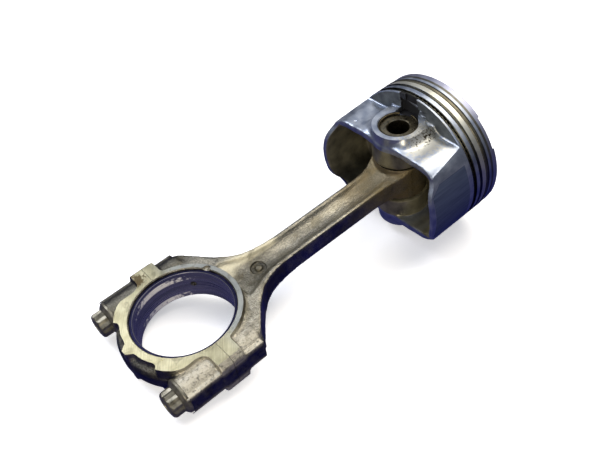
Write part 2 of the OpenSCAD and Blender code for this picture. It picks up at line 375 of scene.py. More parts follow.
def parting_block(side):
    """The raised block that is ground with the thrust faces, bevelled at its outer end."""
    inner = 20 * mm
    outer = flank_y + 0.4 * mm
    outline = [(inner, -proud), (block_y, -proud), (outer, -proud + block_bevel),
               (outer, proud - block_bevel), (block_y, proud), (inner, proud)]
    piece = prism(outline, -block_half, block_half)
    piece.data.transform(Matrix(((0, 0, 1, 0), (1, 0, 0, 0), (0, 1, 0, 0), (0, 0, 0, 1))))
    if side < 0:
        piece.data.transform(Matrix.Diagonal((1, -1, 1, 1)))
    return tidy(piece)


# %% Rough shape of the shank: shoulders, beam and small end
shoulder_end = 18.5 * mm
SHANK = [(2, 34.6, 7.0), (16.5, 34.6, 7.0), (19, 33.6, 7.0), (22.5, 29.4, 7.0), (27, 23.6, 6.9),
         (31.5, 18.6, 6.6), (36.5, 14.2, 6.3), (42, 11.3, 6.0), (47, 9.8, 5.8), (53, 8.95, 5.6),
         (60, 8.65, 5.4), (117, 8.65, 5.4), (122, 9.0, 5.5), (126, 9.8, 5.8), (130, 11.2, 6.8),
         (134, 12.7, 8.4), (137, 13.4, 9.4)]
shank = drawn_out(4, in_mm(SHANK))
rod = join(big_end_ring(), shank)
for side in (1, -1):
    join(rod, bolt_column(-4 * mm, shoulder_end + 0.4 * mm, side), parting_block(side))
join(rod, bar_z((pin_x, 0, 0), small_end_r - 0.2 * mm, half_width + 0.3 * mm))

# %% The pocket on each face of the beam
POCKET = [(28, 14.0, 1.6), (31, 13.0, 2.3), (34, 11.6, 2.9), (37.5, 9.9, 3.4), (41, 8.6, 3.7),
          (46, 7.4, 3.9), (52, 6.7, 4.0), (60, 6.3, 4.0), (107, 6.3, 4.0), (112, 6.4, 3.6),
          (117, 6.5, 2.9), (121, 6.6, 2.1), (124, 6.4, 1.3), (126, 5.6, 0.6)]
pocket_z = 5.9 * mm
for face in (1, -1):
    cut(rod, drawn_out(40, in_mm(POCKET), face * pocket_z))

# %% Forge the skin
GRAIN = 0.62 * mm
forged_skin(rod, GRAIN, 9)

# %% The ejector pin's dimple in the pocket
dimple_x = 43.5 * mm
web_z = 2.1 * mm
for face in (1, -1):
    bpy.ops.object.select_all(action="DESELECT")
    bpy.ops.mesh.primitive_torus_add(location=(dimple_x, 0, face * (web_z + 0.5 * mm)), major_segments=64,
                                     minor_segments=20, major_radius=3.0 * mm, minor_radius=1.3 * mm)
    cut(rod, placed())
    join(rod, ball((dimple_x, 0, face * (web_z - 0.2 * mm)), (2.0 * mm, 2.0 * mm, 1.3 * mm)))

# %% Machine the rod
REACH = 0.2


def machine_big_end(piece, low_x, high_x):
    """Grinds the two thrust faces, splits at the parting line and bores the housing."""
    keep_inside(piece, block((low_x, -REACH, -half_width), (high_x, REACH, half_width)))
    cut(piece, bore_tool((0, 0, 0), housing_r, half_width, 0.45 * mm))


crack = 0.1 * mm
face_depth = 0.6 * mm
flank_depth = 2.5 * mm
touch = 0.01 * mm


def open_crack(piece, side):
    """Breaks the parting line's edges back a little, so that it shows as a fine dark line."""
    for end in (1, -1):
        at_face = (0, -REACH, end * (half_width - face_depth))
        cut(piece, block(at_face, (side * crack, REACH, end * REACH)))
        at_flank = (0, end * (flank_y - flank_depth), -REACH)
        cut(piece, block(at_flank, (side * crack, end * REACH, REACH)))


machine_big_end(rod, touch, REACH)
open_crack(rod, 1)
thread_r = 4 * mm
thread_end = bolt_high.x
for side in (1, -1):
    cut(rod, bar_x(-mm, thread_end + 0.3 * mm, side * bolt_y, thread_r, corners=64))
cut(rod, bore_tool((pin_x, 0, 0), bush_r, half_width, 0.7 * mm))
jet_notch = (22.2 * mm, 12.4 * mm, half_width)
cut(rod, ball(jet_notch, (2.6 * mm, 2.0 * mm, 1.3 * mm)))
rod = finish_piece(rod, "rod_forging", "rod", ["connecting_rod"])

# %% [markdown]
# ## The bearing cap
# The cap is forged in one piece with the rod and then broken off it, so the two halves fit
# only each other. Its ground face is wider than the rod's: it runs out in a shoulder beside
# each bolt and in a pointed lug in the middle.

# %% Rough cap
head_h = 8 * mm
seat_x = bolt_low.x + head_h
disc_r = flange_r + 1.1 * mm
CAP_FACE = [(0, 0), (-29.2, 2), (-29.0, 5), (-28.2, 9), (-27.0, 12), (-25.6, 14.9), (-25.8, 16.7),
            (-27.0, 18.0), (-24.9, 21.1), (-22.6, 23.6), (-20.1, 25.6), (-17.6, 26.6), (-14.5, 26.7),
            (-11.4, 26.5), (-8.7, 27.2), (-7.0, 28.7), (-6.4, 31), (-6.4, 34), (0, 34)]
LUG = [(-24, -5.5), (-28.8, -4.2), (-30.9, -2.6), (-32.3, -1.5), (-32.3, 1.5), (-30.9, 2.6),
       (-28.8, 4.2), (-24, 5.5)]
cap = big_end_ring()
join(cap, prism(in_mm(LUG), -proud, proud))
for side in (1, -1):
    face = [(x * mm, side * y * mm) for x, y in CAP_FACE]
    join(cap, prism(face, -proud, proud), bolt_column(seat_x - 1.5 * mm, 4 * mm, side))
    join(cap, parting_block(side))
forged_skin(cap, GRAIN * 0.85, 7)

# %% Machine the cap
machine_big_end(cap, -REACH, -touch)
open_crack(cap, -1)
for side in (1, -1):
    cut(cap, bar_x(seat_x - 12 * mm, seat_x, side * bolt_y, disc_r + 0.4 * mm, corners=96))
    cut(cap, bar_x(-REACH, mm, side * bolt_y, thread_r + 0.3 * mm, corners=64))
keep_inside(cap, block((-lug_x - 0.6 * mm, -REACH, -REACH), (0, REACH, REACH)))
cap = finish_piece(cap, "bearing_cap", "rod", ["rod_cap"])

# %% [markdown]
# ## The rod bolts
# Twelve-point flange bolts. The head is a star, which is two hexagons turned against each
# other, so the hexagons are joined and their outer end is rounded on the lathe. The flange
# under it is a shallow cone.

# %% Bolts
flange_h = 2.5 * mm
flange_x = seat_x - flange_h
head_end = bolt_low.x - 0.7 * mm
head_r = 6.5 * mm
waist_r = 3.6 * mm


def star_head():
    """A twelve-point head along X, with its outer end rounded and dished."""
    hexagons = []
    for turn in (0, math.pi / 6):
        hexagon = bar_x(head_end, flange_x + 0.2 * mm, 0, head_r, corners=6)
        hexagon.data.transform(Matrix.Rotation(turn, 4, "X"))
        hexagons.append(hexagon)
    head = join(*hexagons)
    rounding = [(0, 0), (0.66 * head_r, 0), (0.86 * head_r, 0.35 * mm), (0.97 * head_r, 1.1 * mm),
                (1.01 * head_r, 2.2 * mm), (1.01 * head_r, 7 * mm), (0, 7 * mm)]
    keep_inside(head, turned_part(rounding, "X", (head_end, 0, 0), 96))
    dish = [(0, -mm), (0.6 * head_r, -mm), (0.52 * head_r, 0.5 * mm), (0, 0.7 * mm)]
    return cut(head, turned_part(dish, "X", (head_end, 0, 0), 96))


def rod_bolt(name, node, side):
    flange = [(0, -0.6 * mm), (0.76 * disc_r, -0.6 * mm), (0.84 * disc_r, -0.1 * mm),
              (0.93 * disc_r, 0.7 * mm), (0.99 * disc_r, 1.1 * mm), (disc_r, 1.4 * mm), (disc_r, 2.2 * mm),
              (0.97 * disc_r, flange_h), (0, flange_h)]
    bolt = join(star_head(), turned_part(flange, "X", (flange_x, 0, 0), 128))
    join(bolt, bar_x(seat_x - mm, 1.2 * mm, 0, waist_r, corners=64))
    join(bolt, bar_x(mm, thread_end, 0, thread_r - 0.02 * mm, corners=64))
    edge = bolt.modifiers.new("edge", "BEVEL")
    edge.width = 0.14 * mm
    edge.segments = 2
    edge.limit_method = "ANGLE"
    edge.angle_limit = math.radians(22)
    only(bolt)
    bpy.ops.object.modifier_apply(modifier=edge.name)
    bolt.data.transform(Matrix.Translation((0, side * bolt_y, 0)))
    return finish_piece(bolt, name, "rod", [node], 28)


far_bolt = rod_bolt("bolt_far", "rod_bolt_far", 1)
near_bolt = rod_bolt("bolt_near", "rod_bolt_near", -1)

# %% [markdown]
# ## The bearing shells
# Two thin steel half rings with a soft lining. Each is turned as a whole ring with broken
# edges and cut in half at the parting line. The rod's half has an oil hole.

# %% Bearing shells
shell_t = 1.5 * mm
journal_r = housing_r - shell_t
shell_half = shell_high.z
break_edge = 0.2 * mm
SHELL = [(journal_r + break_edge, -shell_half), (housing_r, -shell_half), (housing_r, shell_half),
         (journal_r + break_edge, shell_half), (journal_r, shell_half - break_edge),
         (journal_r, -shell_half + break_edge)]
SHELLS = (("shell_rod_side", "rod_bearing_shell", 1), ("shell_cap_side", "cap_bearing_shell", -1))
for name, node, side in SHELLS:
    shell = turned_part(SHELL, steps=192)
    keep_inside(shell, block((side * touch, -REACH, -REACH), (side * REACH, REACH, REACH)))
    if side > 0:
        oil_hole = bar_x(10 * mm, 30 * mm, 0, 1.6 * mm, corners=40)
        oil_hole.data.transform(Matrix.Rotation(math.radians(48), 4, "Z"))
        cut(shell, oil_hole)
    finish_piece(shell, name, "rod", [node])

# %% [markdown]
# ## The wrist pin
# A thick hardened tube with broken edges, ground all over.

# %% Wrist pin
hole_r = 5.8 * mm
pin_half = pin_high.z
pin_edge = 0.5 * mm
PIN = [(hole_r + pin_edge, -pin_half), (pin_r - pin_edge, -pin_half), (pin_r, -pin_half + pin_edge),
       (pin_r, pin_half - pin_edge), (pin_r - pin_edge, pin_half), (hole_r + pin_edge, pin_half),
       (hole_r, pin_half - pin_edge), (hole_r, -pin_half + pin_edge)]
wrist_pin = turned_part(PIN, middle=(pin_x, 0, 0))
finish_piece(wrist_pin, "wrist_pin_tube", "pin", ["wrist_pin"])

# %% [markdown]
# ## The piston
# Cast first: a thick crown with a hollow under it, two curved skirts, two flat side panels
# between them, and a boss on each panel for the wrist pin. The casting is modelled a little
# oversize on the outside and given a soft skin. Then it goes on the lathe: the outside is cut
# to one turned profile, with its ring grooves, and the bosses are faced and bored.

# %% Main sizes, as distances from the pin's axis
piston_r = piston_high.y
crown_x = piston_high.x - pin_x
skirt_x = piston_low.x - pin_x
boss_face = pin_high.z + 2.1 * mm
top_low, top_high = (corner.x - pin_x for corner in rod_box("top_ring"))
second_low, second_high = (corner.x - pin_x for corner in rod_box("second_ring"))
oil_low = rod_box("oil_rail_lower")[0].x - pin_x
oil_high = rod_box("oil_rail_upper")[1].x - pin_x
belt_x = oil_low - 1.45 * mm
under_x = belt_x + 1.3 * mm
panel_x = -13 * mm
panel_half = 25.5 * mm
skirt_t = 2.8 * mm
crown_t = 6.4 * mm
belt_inner_r = piston_r - 7.5 * mm
boss_r = 13.5 * mm
boss_in = half_width + 1.3 * mm
oversize = 1.0 * mm
print(f"piston {2 * piston_r / mm:.1f} mm across, {(crown_x - skirt_x) / mm:.1f} mm tall")


# %% The side panels
# Where the panel's edge runs into the skirt it is lower at the open end than at the belt.
RIDGE_LOW, RIDGE_HIGH = (-12.1 * mm, 21.8 * mm), (10.6 * mm, 25.6 * mm)


def smooth_step(value, start, end):
    share = max(0.0, min(1.0, (value - start) / (end - start)))
    return share * share * (3 - 2 * share)


def ridge_height(x):
    share = (x - RIDGE_LOW[0]) / (RIDGE_HIGH[0] - RIDGE_LOW[0])
    return RIDGE_LOW[1] + share * (RIDGE_HIGH[1] - RIDGE_LOW[1])


def bare_panel(x, y):
    """Height of the panel's outer face: a shallow dish that falls away to the skirt's edge."""
    ridge = ridge_height(x)
    ridge_y = math.sqrt(piston_r ** 2 - ridge ** 2)
    dish = 1.0 * mm * math.exp(-(y / (9 * mm)) ** 2)
    shallow = 0.5 * mm * math.exp(-((abs(y) - 22 * mm) / (5 * mm)) ** 2)
    high = 26.5 * mm - dish - shallow
    fall = max(0.0, (abs(y) - 23 * mm) / (ridge_y - 23 * mm)) ** 2
    dip = 2.6 * mm * math.exp(-((y - 1.5 * mm) / (6.5 * mm)) ** 2) * smooth_step(x, -6 * mm, panel_x)
    roll = 1.7 * mm * smooth_step(x, 5 * mm, 13 * mm)
    return high + fall * (ridge - high) - dip - roll * (1 - min(1.0, fall))


def panel_face(x, y):
    """The bare panel with the boss's foot blended in. Towards the belt the boss has straight sides."""
    low = bare_panel(x, y)
    far = math.hypot(x, y) if x < 0 else abs(y)
    top = boss_face + 0.5 * mm - 2.4 * mm * smooth_step(x, 5.5 * mm, 12.5 * mm)
    if far <= boss_r:
        rise = 1.0
    else:
        rise = max(0.0, 1 - (far - boss_r) / (5.2 * mm)) ** 2
    return low + (top - low) * rise * smooth_step(x, panel_x - mm, panel_x + 6 * mm)


def panel_wall():
    """One side panel: a grid pressed into the panel's shape and drawn down to its thickness."""
    long_steps, cross_steps = 44, 110
    half_span = 37 * mm
    wall_t = 4 * mm
    bpy.ops.object.select_all(action="DESELECT")
    bpy.ops.mesh.primitive_grid_add(x_subdivisions=long_steps, y_subdivisions=cross_steps, size=1)
    wall = placed()
    top_x = crown_x - crown_t + mm
    for corner in wall.data.vertices:
        x = panel_x + (corner.co.x + 0.5) * (top_x - panel_x)
        y = corner.co.y * 2 * half_span
        corner.co = (x, y, panel_face(min(x, under_x + mm), y))
    edit_all()
    pull(0, 0, -wall_t)
    bpy.ops.object.mode_set(mode="OBJECT")
    under = len(wall.data.vertices) // 2
    for corner in wall.data.vertices:
        if corner.index >= under:
            x, y = corner.co.x, corner.co.y
            thicker = 2 * mm * smooth_step(x, 8 * mm, 16 * mm)
            corner.co.z = bare_panel(min(x, under_x), y) - wall_t - thicker
    return keep_inside(tidy(wall), bar_x(skirt_x, crown_x, 0, piston_r + oversize))


# %% The skirts, the bosses and the crown
def side_view(outline, half_y):
    """A plate seen from the side: its outline is in X and Z, and it runs along Y."""
    piece = prism(outline, -half_y, half_y)
    piece.data.transform(Matrix(((1, 0, 0, 0), (0, 0, 1, 0), (0, 1, 0, 0), (0, 0, 0, 1))))
    return tidy(piece)


# The skirt's open edge, as (height above the middle, place along the piston): level, then falling away.
SKIRT_EDGE = [(21.8, -12.1), (19.8, -13.2), (18, -14.3), (16.2, -15.9), (14.3, -17.3), (12, -18.3),
              (9.6, -18.8), (4, -19.3)]


def skirt_walls():
    walls = bar_x(skirt_x, belt_x + 2 * mm, 0, piston_r + oversize)
    cut(walls, bar_x(skirt_x - mm, belt_x + 3 * mm, 0, piston_r - skirt_t))
    upper = [(x * mm, z * mm) for z, x in SKIRT_EDGE]
    lower = [(x, -z) for x, z in reversed(upper)]
    end_x = under_x + 3 * mm
    end_z = ridge_height(end_x)
    outline = [(end_x, end_z)] + upper + lower + [(end_x, -end_z)]
    return keep_inside(walls, side_view(outline, 2 * piston_r))


def pin_boss():
    """The boss's round column, with a strut that ties it to the crown."""
    boss = bar_z((0, 0, (boss_in + boss_face + oversize) / 2), boss_r, (boss_face + oversize - boss_in) / 2)
    foot = bar_z((0, 0, (boss_in + panel_half - mm) / 2), boss_r + 0.9 * mm, (panel_half - mm - boss_in) / 2)
    post = block((0, -9.5 * mm, boss_in), (crown_x - crown_t / 2, 9.5 * mm, panel_half - 6 * mm))
    return join(boss, foot, post)


# The belt's underside is level near the middle, then slants down to the rim.
level_r = 27 * mm
crown = turned_part([(0, under_x), (level_r, under_x), (piston_r, belt_x), (piston_r + oversize, belt_x),
                     (piston_r + oversize, crown_x + oversize), (0, crown_x + oversize)], "X")
hollow = bar_x(belt_x - mm, crown_x - crown_t, 0, belt_inner_r)
hollow_half = 20 * mm
cut(crown, keep_inside(hollow, block((-REACH, -REACH, -hollow_half), (REACH, REACH, hollow_half))))
casting = join(crown, skirt_walls())
for side in (0, 1):
    for part in (panel_wall(), pin_boss()):
        if side:
            part.data.transform(Matrix.Diagonal((1, 1, -1, 1)))
            tidy(part)
        join(casting, part)
cut(casting, bar_z((0, 0, 0), pin_r - mm, 40 * mm))
forged_skin(casting, 0.62 * mm, 4)

# %% Turn the outside
land_r = piston_r - 0.25 * mm
groove_r = piston_r - 3.4 * mm
play = 0.05 * mm
broken = 0.22 * mm
crown_edge = 0.5 * mm
skirt_top = belt_x + 0.5 * mm


def groove(low, high, upper=broken):
    """Profile points of one ring groove, cut into the lands from low to high, with broken corners."""
    low, high = low - play, high + play
    return [(land_r, low - broken), (land_r - broken, low), (groove_r, low), (groove_r, high),
            (land_r - upper, high), (land_r, high + upper)]


OUTSIDE = [(0, skirt_x - mm), (piston_r - 0.4 * mm, skirt_x - mm), (piston_r, skirt_x + 3 * mm),
           (piston_r, skirt_top), (land_r, skirt_top + 0.3 * mm), *groove(oil_low, oil_high),
           *groove(second_low, second_high), *groove(top_low, top_high, crown_edge),
           (land_r, crown_x - crown_edge), (land_r - crown_edge, crown_x), (0, crown_x)]
keep_inside(casting, turned_part(OUTSIDE, "X", steps=256))

# %% Face and bore the bosses
recess_half = 14 * mm
recess_depth = 1.3 * mm
for side in (1, -1):
    facing = (skirt_x - mm, -REACH, side * boss_face)
    cut(casting, block(facing, (belt_x - 0.1 * mm, REACH, side * REACH)))
    recess = (belt_x - mm, -recess_half, side * boss_face)
    cut(casting, block(recess, (under_x - 0.5 * mm, recess_half, side * (boss_face + recess_depth))))
cut(casting, bore_tool((0, 0, 0), pin_r + 0.025 * mm, boss_face, 0.8 * mm))
clip_z = pin_half + 0.8 * mm
clip_groove_r = pin_r + 0.75 * mm
clip_groove_half = 0.8 * mm
NOTCH = [(3, 8.3), (13.2, 8.3), (13.2, -3.2), (11, -3.6), (6.7, -7.5), (2, -3)]
notch_in, notch_out = 28 * mm, 37 * mm
slot_in = 36.8 * mm
for side in (1, -1):
    cut(casting, bar_z((0, 0, side * clip_z), clip_groove_r, clip_groove_half))
    cut(casting, prism(in_mm(NOTCH), *sorted((side * notch_in, side * notch_out))))
    slot = (belt_x - 2 * mm, -3.2 * mm, side * slot_in)
    cut(casting, block(slot, (belt_x + 1.0 * mm, 4.4 * mm, side * REACH)))

# A small punched dimple in each panel.
for side in (1, -1):
    cut(casting, ball((-9 * mm, side * 22.5 * mm, side * 27.2 * mm), (1.5 * mm, 1.5 * mm, 1.4 * mm)))

# %% Valve pockets and oil drains
valve_r = 14 * mm
valve_depth = 1.4 * mm
for angle in (35, 145, 215, 325):
    way = math.radians(angle)
    middle = (piston_r - 12 * mm) * Vector((0, math.cos(way), math.sin(way)))
    pocket = bar_x(crown_x - valve_depth, crown_x + mm, 0, valve_r)
    pocket.data.transform(Matrix.Translation(middle))
    cut(casting, pocket)
drain_r = 0.9 * mm
for angle in range(20, 360, 40):
    drain = bar_z((oil_low + 1.1 * mm, 0, piston_r / 2), drain_r, piston_r / 2, corners=24)
    drain.data.transform(Matrix.Rotation(math.radians(angle), 4, "X"))
    cut(casting, drain)
casting.data.transform(Matrix.Translation((pin_x, 0, 0)))
piston = finish_piece(casting, "piston_casting", "piston", ["piston_body"], 32)

# %% [markdown]
# ## The rings
# Cast iron rings with broken edges, a steel rail pair, and a crimped spring strip between the
# rails that pushes them out. Each ring and rail has an end gap.


# %% Piston rings
ring_t = 3 * mm
gap_half = 0.45 * mm


def split_ring(name, body, node, low, high, angle):
    """A ring between two heights above the pin, with its end gap turned to the given angle."""
    break_edge = min(0.16 * mm, (high - low) / 3)
    inner = piston_r - ring_t
    profile = [(inner, low), (piston_r - break_edge, low), (piston_r, low + break_edge),
               (piston_r, high - break_edge), (piston_r - break_edge, high), (inner, high)]
    ring = turned_part(profile, "X", (pin_x, 0, 0), 256)
    gap = block((pin_x + low - mm, 0, -gap_half), (pin_x + high + mm, REACH, gap_half))
    gap.data.transform(Matrix.Rotation(math.radians(angle), 4, "X"))
    cut(ring, gap)
    return finish_piece(ring, name, body, [node])


rail_h = 0.5 * mm
split_ring("compression_ring", "ring_top", "top_ring", top_low, top_high, 200)
split_ring("scraper_ring", "ring_second", "second_ring", second_low, second_high, 320)
split_ring("rail_lower", "ring_oil", "oil_rail_lower", oil_low, oil_low + rail_h, 260)
split_ring("rail_upper", "ring_oil", "oil_rail_upper", oil_high - rail_h, oil_high, 290)

# %% The crimped expander strip
crimps = 90
strip_points = crimps * 8
strip_gap = 0.04 * mm
crimp_r = piston_r - 1.7 * mm
crimp_depth = 0.75 * mm
bpy.ops.object.select_all(action="DESELECT")
bpy.ops.mesh.primitive_circle_add(vertices=strip_points, radius=1, fill_type="NOTHING")
strip = placed()
for i, corner in enumerate(strip.data.vertices):
    way = 2 * math.pi * i / strip_points
    wave = max(-1, min(1, 1.6 * math.sin(crimps * way)))
    radius = crimp_r + crimp_depth * wave
    corner.co = (oil_low + rail_h + strip_gap, radius * math.cos(way), radius * math.sin(way))
strip_h = oil_high - oil_low - 2 * rail_h - 2 * strip_gap
edit_all()
pull(strip_h, 0, 0)
bpy.ops.mesh.normals_make_consistent(inside=False)
bpy.ops.object.mode_set(mode="OBJECT")
wall = strip.modifiers.new("wall", "SOLIDIFY")
wall.thickness = 0.3 * mm
wall.offset = 0
only(strip)
bpy.ops.object.modifier_apply(modifier=wall.name)
strip.data.transform(Matrix.Translation((pin_x, 0, 0)))
finish_piece(strip, "expander_strip", "ring_oil", ["oil_expander"], 40)

# %% [markdown]
# ## Finishes
# Every finish here is a bare or oily metal, so its look comes from three things: the colour of
# the metal under its film of oil, how rough the skin is, and what it mirrors. All patterns are
# measured in millimetres along the rod's own axes, so they sit still on the piece and keep
# their size. The helpers below keep each finish short.

# %% Colour and node helpers
def colour(code):
    """A screen colour such as C8B890 as the linear colour that Blender mixes with."""
    parts = [int(code[i:i + 2], 16) / 255 for i in (0, 2, 4)]
    linear = [part / 12.92 if part <= 0.04045 else ((part + 0.055) / 1.055) ** 2.4 for part in parts]
    return (*linear, 1)


def add(tree, kind, sockets=None, **settings):
    """Adds one node, sets it, and fills or wires its sockets."""
    node = tree.nodes.new(kind)
    for name, value in settings.items():
        setattr(node, name, value)
    for socket, value in (sockets or {}).items():
        if isinstance(value, bpy.types.NodeSocket):
            tree.links.new(value, node.inputs[socket])
        else:
            node.inputs[socket].default_value = value
    return node


def new_metal(name, metallic=1.0):
    """A fresh material with its shader, and the place on the piece in millimetres from the crank's axis."""
    material = bpy.data.materials.new(name)
    material.use_nodes = True
    tree = material.node_tree
    tree.nodes.clear()
    shader = add(tree, "ShaderNodeBsdfPrincipled", {"Metallic": metallic})
    add(tree, "ShaderNodeOutputMaterial", {"Surface": shader.outputs["BSDF"]})
    object_place = add(tree, "ShaderNodeTexCoord").outputs["Object"]
    place = add(tree, "ShaderNodeMapping", {"Vector": object_place, "Rotation": (0, tilt, 0),
                                            "Scale": (1 / mm, 1 / mm, 1 / mm)}).outputs["Vector"]
    return material, tree, shader, place


def sums(tree, operation, first, second=0.0):
    return add(tree, "ShaderNodeMath", {0: first, 1: second}, operation=operation).outputs[0]


def times(tree, first, second):
    return sums(tree, "MULTIPLY", first, second)


def most(tree, first, second):
    return sums(tree, "MAXIMUM", first, second)


def away_from(tree, place, spot):
    """Distance from a spot, in millimetres."""
    return add(tree, "ShaderNodeVectorMath", {0: place, 1: spot}, operation="DISTANCE").outputs["Value"]


def step_up(tree, value, start, end):
    """Nothing below start, full above end, and smooth between them."""
    return add(tree, "ShaderNodeMapRange", {"Value": value, "From Min": start, "From Max": end},
               interpolation_type="SMOOTHSTEP").outputs["Result"]


def between(tree, value, low, high, soft):
    rise = step_up(tree, value, low - soft, low + soft)
    fall = step_up(tree, value, high + soft, high - soft)
    return times(tree, rise, fall)


def cloud(tree, place, size, detail=4.0, stretch=(1, 1, 1), turn=(0, 0, 0), distortion=0.0):
    """Cloudy pattern from 0 to 1. Its lumps are size millimetres across, times stretch."""
    squeeze = tuple(1 / (size * s) for s in stretch)
    spot = add(tree, "ShaderNodeMapping", {"Vector": place, "Rotation": turn}).outputs["Vector"]
    spot = add(tree, "ShaderNodeMapping", {"Vector": spot, "Scale": squeeze}).outputs["Vector"]
    return add(tree, "ShaderNodeTexNoise", {"Vector": spot, "Scale": 1.0, "Detail": detail,
                                            "Distortion": distortion}).outputs["Fac"]


def mix(tree, share, under, over):
    return add(tree, "ShaderNodeMix", {"Factor": share, 6: under, 7: over}, data_type="RGBA").outputs[2]


def mix_number(tree, share, under, over):
    return add(tree, "ShaderNodeMix", {"Factor": share, 2: under, 3: over}, data_type="FLOAT").outputs[0]


def spread(tree, value, low, high):
    """Stretches a cloudy pattern, which mostly lies near a half, over the range low to high."""
    return add(tree, "ShaderNodeMapRange", {"Value": value, "From Min": 0.3, "From Max": 0.7, "To Min": low,
                                            "To Max": high}).outputs["Result"]


def mottled(tree, place, size, dark, light, detail=5, **pattern):
    """Two colours in clouds whose lumps are size millimetres across."""
    clouds = spread(tree, cloud(tree, place, size, detail, **pattern), 0, 1)
    return mix(tree, clouds, colour(dark), colour(light))


def paint(tree, skin, share, tint, strength=None):
    """Lays a colour over the skin where its share says so, thinned by its strength."""
    if strength is not None:
        share = times(tree, share, strength)
    return mix(tree, share, skin, colour(tint))


def dent(tree, shader, height, depth, before=None):
    """Presses a height pattern into the surface, depth millimetres deep."""
    bump = add(tree, "ShaderNodeBump", {"Height": height, "Distance": depth * mm, "Strength": 1.0})
    if before:
        tree.links.new(before.outputs["Normal"], bump.inputs["Normal"])
    tree.links.new(bump.outputs["Normal"], shader.inputs["Normal"])
    return bump


def parts_of(tree, place, shift=(0, 0, 0)):
    moved = add(tree, "ShaderNodeMapping", {"Vector": place, "Location": shift}).outputs["Vector"]
    split = add(tree, "ShaderNodeSeparateXYZ", {"Vector": moved})
    return split.outputs[0], split.outputs[1], split.outputs[2]


def near_spot(tree, place, spot, radius):
    """A soft round patch round a spot, with its edge broken up."""
    broken_up = spread(tree, cloud(tree, place, 1.6, 5), -0.45 * radius, 0.45 * radius)
    ragged = sums(tree, "ADD", away_from(tree, place, spot), broken_up)
    return step_up(tree, ragged, radius, 0.45 * radius)


def wear(tree, shader, colour_out, rough_out):
    tree.links.new(colour_out, shader.inputs["Base Color"])
    tree.links.new(rough_out, shader.inputs["Roughness"])


def dress(piece, material, *others):
    """Gives a piece its material, and other materials to the faces that pass each test."""
    piece.data.materials.clear()
    piece.data.materials.append(material)
    for other, test in others:
        piece.data.materials.append(other)
        index = len(piece.data.materials) - 1
        chosen = 0
        for face in piece.data.polygons:
            if test(stand_up @ face.center, stand_up.to_3x3() @ face.normal):
                face.material_index = index
                chosen += 1
        print(f"{piece.name}: {chosen} faces of {other.name}")


# %% [markdown]
# ### Forged steel
# The rod's forged skin is shot-peened, so it is covered in fine dimples. It has been in hot
# oil for years: the pocket of the beam is warm grey and gold, and near the small end the oil
# has baked to a brown varnish. The brown grows in cloudily towards the piston.
# Painted shade darkens the low places, the pocket's floor, the dimple's ring and the far column. Painted
# highlights lighten the near column and the pocket's far lip.

# %% Forged steel
forged_steel, tree, shader, place = new_metal("forged_steel")
along, across, height = parts_of(tree, place)
off_middle = sums(tree, "ABSOLUTE", height)
skin = mottled(tree, place, 11, "7C796E", "B9B4A2")
speck = step_up(tree, cloud(tree, place, 0.8, 3), 0.40, 0.60)
skin = paint(tree, skin, speck, "45433C", 0.42)

# Painted highlight on the near column, which is painted lighter. Painted shade on the far column, the low
# places and the pocket's floor, which are painted darker.
painted_highlight_zone = times(tree, step_up(tree, across, -24, -27), step_up(tree, along, 22, 18))
near_column_highlight = times(tree, painted_highlight_zone, step_up(tree, cloud(tree, place, 1.6, 4), 0.68, 0.50))
skin = paint(tree, skin, near_column_highlight, "BFB9A6", 0.75)
far_column_shade = times(tree, step_up(tree, across, 23, 27), step_up(tree, along, 26, 18))
low_place_shade = times(tree, step_up(tree, off_middle, 5.2, 4.0), step_up(tree, along, 30, 20))
pocket_floor_shade = times(tree, step_up(tree, off_middle, 4.6, 3.6), between(tree, along, 31, 52, 4))
painted_shade = most(tree, most(tree, times(tree, far_column_shade, 1.3), low_place_shade), pocket_floor_shade)
skin = paint(tree, skin, painted_shade, "3A3934", 0.55)

# Painted shade darkens the dimple's ring, and a painted highlight lightens the pocket's far lip.
flat_place = add(tree, "ShaderNodeCombineXYZ", {0: along, 1: across}).outputs[0]
from_dimple = away_from(tree, flat_place, (dimple_x / mm, 0, 0))
skin = paint(tree, skin, between(tree, from_dimple, 2.1, 3.9, 0.4), "2A2924", 0.65)
lip_highlight = times(tree, between(tree, off_middle, 3.6, 6.3, 0.5), between(tree, along, 28, 60, 3))
lip_highlight = times(tree, lip_highlight, step_up(tree, across, 1, 4))
skin = paint(tree, skin, lip_highlight, "DCD4B4", 0.7)

# Baked varnish towards the piston, and oily patches everywhere.
baked = times(tree, step_up(tree, along, 84, 126), spread(tree, cloud(tree, place, 7, 6), 0.55, 1.0))
skin = paint(tree, skin, baked, "80704A")
oily = step_up(tree, cloud(tree, place, 15, 6, distortion=1.2), 0.54, 0.66)
skin = paint(tree, skin, oily, "5E5846", 0.55)
wear(tree, shader, skin, spread(tree, cloud(tree, place, 3.5, 5), 0.30, 0.50))

# Where baked varnish covers the steel it mirrors less, and so do the painted highlights on the pocket's lip
# and the near column.
film = most(tree, times(tree, baked, 0.45), times(tree, lip_highlight, 0.6))
raised = step_up(tree, off_middle, 2.5, 5)
film = most(tree, film, times(tree, times(tree, painted_highlight_zone, raised), 0.4))
tree.links.new(sums(tree, "SUBTRACT", 1.0, film), shader.inputs["Metallic"])
pits = dent(tree, shader, cloud(tree, place, 0.7, 3), 0.36)
dent(tree, shader, cloud(tree, place, 4.5, 3), 0.35, before=pits)

# %% [markdown]
# ### Ground steel
# The thrust faces and the parting blocks were ground flat. The wheel left fine slanting
# lines. The cap's faces have taken a thin khaki film, the rod's are cooler, and one parting
# block has a rust stain where oil ran off it.

